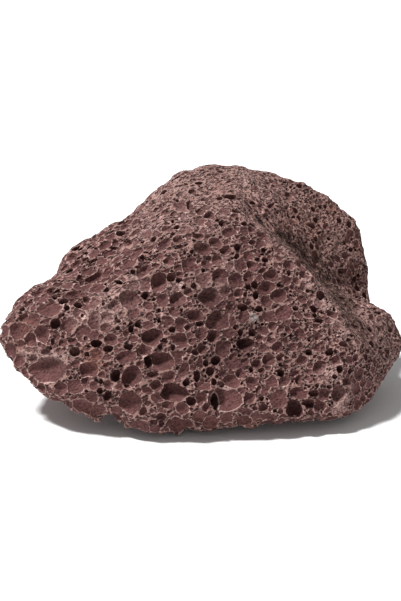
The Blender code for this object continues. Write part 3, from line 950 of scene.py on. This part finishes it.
# pale grit, partly a painted highlight
DUST_AND_HIGHLIGHT = Coat("#AE8F88", 0.40, 0.56, 0.0, 1.0)
# the dark skin, partly painted shade in the gully
OLIVE_AND_SHADE = Coat("#3E2A23", 0.62, 0.46, 0.25, 0.95)
RUST = Coat("#845546", 0.38, 0.60, 0.0, 0.8)
CHALK = Coat("#C9BEBA", 0.36, 0.46, 0.0, 1.0)

# Patterns too fine to cut. Real grit and the finest froth are 0.1 to 0.5 mm across; their waves are
# made 0.95 mm long, coarser than life, so that they still show in a view of the whole lump.
GRIT = 0.95 * MM
FINE_FROTH = 0.95 * MM
STREAK = 1.1 * MM
LONG_FROTH = 1.0 * MM
BEND = 2.0 * MM  # the froth's cells are pushed out of line over this length
BEND_MOVE = 0.6 * MM
BLOTCH = 7.0 * MM  # from one dark blotch of the linings to the next
RELIEF = 0.6 * MM  # height of the roughness
GRAIN_SQUEEZE = 0.5  # how much narrower the froth's coordinates are along the grain
FLOW_SQUEEZE = 0.8  # and along the gully, where the froth was drawn out as it flowed

# A colour Mix node's sockets, which have the same names as its number sockets.
SHARE = 0
UNDER = 6
OVER = 7
MIXED = 2


def linear(hex_colour):
    """An sRGB hex colour as the linear values that shaders take."""
    values = [int(hex_colour[i:i + 2], 16) / 255 for i in (1, 3, 5)]
    return [v / 12.92 if v <= 0.04045 else ((v + 0.055) / 1.055) ** 2.4 for v in values] + [1.0]


def add(tree, kind, output, inputs, **settings):
    """Adds a node and returns one of its outputs. Each input takes another node's output, a value or a
    hex colour; the settings are the node's own properties."""
    node = tree.nodes.new("ShaderNode" + kind)
    for name, value in settings.items():
        setattr(node, name, value)
    for name, source in inputs.items():
        if isinstance(source, bpy.types.NodeSocket):
            tree.links.new(source, node.inputs[name])
        else:
            node.inputs[name].default_value = linear(source) if isinstance(source, str) else source
    return node.outputs[output]


def drawn_out(tree, where, way, share):
    """The coordinates squeezed along a way, so that a pattern on them comes out drawn out along it."""
    along = add(tree, "VectorMath", "Vector", {0: where, 1: tuple(way)}, operation="PROJECT")
    inputs = {0: along, 1: (-share,) * 3, 2: where}
    return add(tree, "VectorMath", "Vector", inputs, operation="MULTIPLY_ADD")


def coated(tree, colour, coat, places, pattern):
    """The colour with a coat over it where places says, broken up by the pattern."""
    inputs = {"Value": pattern, "From Min": coat.start, "From Max": coat.full,
              "To Min": coat.least, "To Max": coat.most}
    broken_up = add(tree, "MapRange", "Result", inputs)
    share = add(tree, "Math", "Value", {0: places, 1: broken_up}, operation="MULTIPLY")
    inputs = {SHARE: share, UNDER: colour, OVER: coat.colour}
    return add(tree, "Mix", MIXED, inputs, data_type="RGBA")


def fine_patterns(tree, where, drawn, flow, grain):
    """The patterns that are too fine to cut: grit, the cells of the finest froth, and streaks."""
    inputs = {"Vector": where, "Scale": 1 / GRIT, "Detail": 3.0, "Roughness": 0.8}
    grit = add(tree, "TexNoise", "Fac", inputs)
    bend = add(tree, "TexNoise", "Color", {"Vector": where, "Scale": 1 / BEND, "Detail": 2.0})
    inputs = {0: bend, 1: (BEND_MOVE,) * 3, 2: where}
    bent = add(tree, "VectorMath", "Vector", inputs, operation="MULTIPLY_ADD")
    inputs = {"Vector": drawn_out(tree, bent, grain, GRAIN_SQUEEZE), "Scale": 1 / FINE_FROTH}
    cells = add(tree, "TexVoronoi", "Distance", inputs)
    flowing = drawn_out(tree, where, flow, FLOW_SQUEEZE)
    inputs = {"Vector": flowing, "Scale": 1 / STREAK, "Detail": 3.0, "Roughness": 0.7}
    streak = add(tree, "TexNoise", "Fac", inputs)
    inputs = {"Vector": flowing, "Scale": 1 / LONG_FROTH}
    long_cells = add(tree, "TexVoronoi", "Distance", inputs)
    cells = add(tree, "Mix", "Result", {"Factor": drawn, "A": cells, "B": long_cells})
    grit = add(tree, "Mix", "Result", {"Factor": drawn, "A": grit, "B": streak})
    return grit, cells, streak


def stone_colour(tree, where, wall, grit, cells):
    """Blotched linings in the bubbles; between them the break, with the finest froth's pits, painted dark
    as shade, and walls.
    """
    grit_step = add(tree, "MapRange", "Result", {"Value": grit, "From Min": 0.36, "From Max": 0.64})
    inputs = {"Vector": where, "Scale": 1 / BLOTCH, "Detail": 5.0, "Roughness": 0.65}
    blotch = add(tree, "TexNoise", "Fac", inputs)
    inputs = {"Value": blotch, "From Min": 0.35, "From Max": 0.65}
    blotch_step = add(tree, "MapRange", "Result", inputs)
    inputs = {SHARE: blotch_step, UNDER: LINING[0], OVER: LINING[1]}
    lining = add(tree, "Mix", MIXED, inputs, data_type="RGBA")
    inputs = {SHARE: LINING_GRAIN, UNDER: lining, OVER: grit_step}
    lining = add(tree, "Mix", MIXED, inputs, data_type="RGBA", blend_type="OVERLAY")
    inputs = {SHARE: grit_step, UNDER: BREAK[0], OVER: BREAK[1]}
    broken = add(tree, "Mix", MIXED, inputs, data_type="RGBA")
    thin_wall = add(tree, "MapRange", "Result", {"Value": cells, "From Min": 0.47, "From Max": 0.58})
    inputs = {SHARE: thin_wall, UNDER: broken, OVER: FINE_WALL}
    broken = add(tree, "Mix", MIXED, inputs, data_type="RGBA")
    # painted shade in the cores of the finest pits
    pit_edge = add(tree, "MapRange", "Result", {"Value": cells, "From Min": 0.24, "From Max": 0.40})
    inputs = {SHARE: pit_edge, UNDER: FINE_PIT_SHADE, OVER: broken}
    broken = add(tree, "Mix", MIXED, inputs, data_type="RGBA")
    inputs = {SHARE: wall, UNDER: broken, OVER: lining}
    return add(tree, "Mix", MIXED, inputs, data_type="RGBA")


def chipped_and_highlit_edges(tree, depth, rim, wall):
    """Where thin glass has chipped, with a painted highlight on it: round a bubble's mouth, and on its
    sharp edges.
    """
    inputs = {"Value": depth, "From Min": 0.02, "From Max": 0.16, "To Min": 1.0, "To Max": 0.0}
    mouth = add(tree, "MapRange", "Result", inputs)
    lip = add(tree, "Math", "Value", {0: mouth, 1: wall}, operation="MULTIPLY")
    sharp = add(tree, "MapRange", "Result", {"Value": rim, "From Min": 0.66, "From Max": 1.0})
    crest = add(tree, "Math", "Value", {0: sharp, 1: wall}, operation="MULTIPLY")
    return add(tree, "Math", "Value", {0: lip, 1: crest}, operation="MAXIMUM")


def relief(tree, wall, grit, cells):
    """Rough on the break, nearly smooth on the linings."""
    inputs = {"Value": cells, "From Min": 0.10, "From Max": 0.60, "To Min": 0.0, "To Max": 1.6}
    pits = add(tree, "MapRange", "Result", inputs)
    rough = add(tree, "Math", "Value", {0: pits, 1: grit}, operation="ADD")
    inputs = {"Value": wall, "From Min": 0.0, "From Max": 1.0, "To Min": 1.2, "To Max": 0.35}
    strength = add(tree, "MapRange", "Result", inputs)
    height = add(tree, "Math", "Value", {0: rough, 1: strength}, operation="MULTIPLY")
    return add(tree, "Bump", "Normal", {"Height": height, "Strength": 1.0, "Distance": RELIEF})


def scoria(flow, grain):
    """Red scoria, broken and never polished: dull all over, dark in its bubbles, with painted shade in
    the deepest, and pale on its edges, partly a painted highlight.
    """
    material = bpy.data.materials.new("red_scoria")
    material.use_nodes = True
    tree = material.node_tree
    shader = tree.nodes["Principled BSDF"]
    where = add(tree, "TexCoord", "Object", {})
    at = {}
    for name in ("depth_mm", "rim", "wall", *STAINS):
        at[name] = add(tree, "Attribute", "Fac", {}, attribute_name=name)
    depth = at["depth_mm"]
    wall = at["wall"]
    grit, cells, streak = fine_patterns(tree, where, at["drawn"], flow, grain)
    colour = stone_colour(tree, where, wall, grit, cells)
    # pale chipped rims, partly a painted highlight
    colour = coated(tree, colour, CHIPPED_AND_HIGHLIGHT, chipped_and_highlit_edges(tree, depth, at["rim"], wall), grit)
    # pale grit, and the painted highlight with it, stays near the surface
    inputs = {"Value": depth, "From Min": 0.2, "From Max": 0.9, "To Min": 1.0, "To Max": 0.35}
    reach = add(tree, "MapRange", "Result", inputs)
    dust_and_highlight_share = add(tree, "Math", "Value", {0: at["dust_and_highlight"], 1: reach}, operation="MULTIPLY")
    colour = coated(tree, colour, DUST_AND_HIGHLIGHT, dust_and_highlight_share, grit)
    colour = coated(tree, colour, OLIVE_AND_SHADE, at["olive_and_shade"], streak)
    colour = coated(tree, colour, RUST, at["rust"], grit)
    # painted shade over the front's middle and the valley
    inputs = {SHARE: at["painted_shade"], UNDER: colour, OVER: PAINTED_SHADE_TINT}
    colour = add(tree, "Mix", MIXED, inputs, data_type="RGBA", blend_type="MULTIPLY")
    colour = coated(tree, colour, CHALK, at["chalk"], grit)
    # painted shade: the deepest linings are made a little darker
    inputs = {"Value": depth, "From Min": 2.0, "From Max": 6.0, "To Min": 1.0, "To Max": 0.8}
    shade = add(tree, "MapRange", "Result", inputs)
    inputs = {SHARE: 1.0, UNDER: colour, OVER: shade}
    colour = add(tree, "Mix", MIXED, inputs, data_type="RGBA", blend_type="MULTIPLY")
    tree.links.new(colour, shader.inputs["Base Color"])
    tree.links.new(relief(tree, wall, grit, cells), shader.inputs["Normal"])
    shader.inputs["Roughness"].default_value = ROUGHNESS
    shader.inputs["Specular IOR Level"].default_value = SPECULAR
    return material


# ---------------------------------------------------------------- studio

FLOOR = "#F2F2F2"
FLOOR_HALF = 2.0
LAMP_PLACE = Vector((-1.15, -0.05, 2.45))
LAMP_SIZE = 0.40
LAMP_POWER = 122.0
# The sky is bright at the height where the floor ends, and dimmer above: how high each stretch
# reaches, as the height of a direction, and how strong the light is there.
LOW_SKY = 0.05
HIGH_SKY = 0.35
LOW_LIGHT = 1.0
HIGH_LIGHT = 0.30


def pale_floor():
    """A matt pale floor, without a pattern."""
    material = bpy.data.materials.new("pale_floor")
    material.use_nodes = True
    shader = material.node_tree.nodes["Principled BSDF"]
    shader.inputs["Base Color"].default_value = linear(FLOOR)
    shader.inputs["Roughness"].default_value = ROUGHNESS
    bm = bmesh.new()
    bmesh.ops.create_grid(bm, x_segments=1, y_segments=1, size=FLOOR_HALF)
    mesh = bpy.data.meshes.new("floor")
    bm.to_mesh(mesh)
    bm.free()
    mesh.materials.append(material)
    return shown("floor", mesh)


def soft_lamp():
    data = bpy.data.lights.new("key", "AREA")
    data.size = LAMP_SIZE
    data.energy = LAMP_POWER
    light = bpy.data.objects.new("key", data)
    light.location = LAMP_PLACE
    light.rotation_euler = (LAMP_PLACE - AIM).to_track_quat("Z", "Y").to_euler()
    bpy.context.scene.collection.objects.link(light)


def pale_sky():
    world = bpy.data.worlds.new("studio")
    world.use_nodes = True
    tree = world.node_tree
    sky = add(tree, "TexCoord", "Generated", {})
    height = add(tree, "SeparateXYZ", "Z", {"Vector": sky})
    inputs = {"Value": height, "From Min": LOW_SKY, "From Max": HIGH_SKY,
              "To Min": LOW_LIGHT, "To Max": HIGH_LIGHT}
    strength = add(tree, "MapRange", "Result", inputs)
    tree.nodes["Background"].inputs["Color"].default_value = (1.0, 1.0, 1.0, 1.0)
    tree.links.new(strength, tree.nodes["Background"].inputs["Strength"])
    bpy.context.scene.world = world
    bpy.context.scene.view_settings.view_transform = "Standard"


# ---------------------------------------------------------------- the scene

SMOOTH_UNDER = math.radians(38)

lump_mesh, flow, grain = broken_lump(front_camera())
lump_mesh.materials.clear()
lump_mesh.materials.append(scoria(flow, grain))
lump_mesh.shade_smooth()
lump_mesh.set_sharp_from_angle(angle=SMOOTH_UNDER)
lump = shown("scoria_lump", lump_mesh)
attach(lump, "root")
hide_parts("lava_rock")
floor = pale_floor()
soft_lamp()
pale_sky()
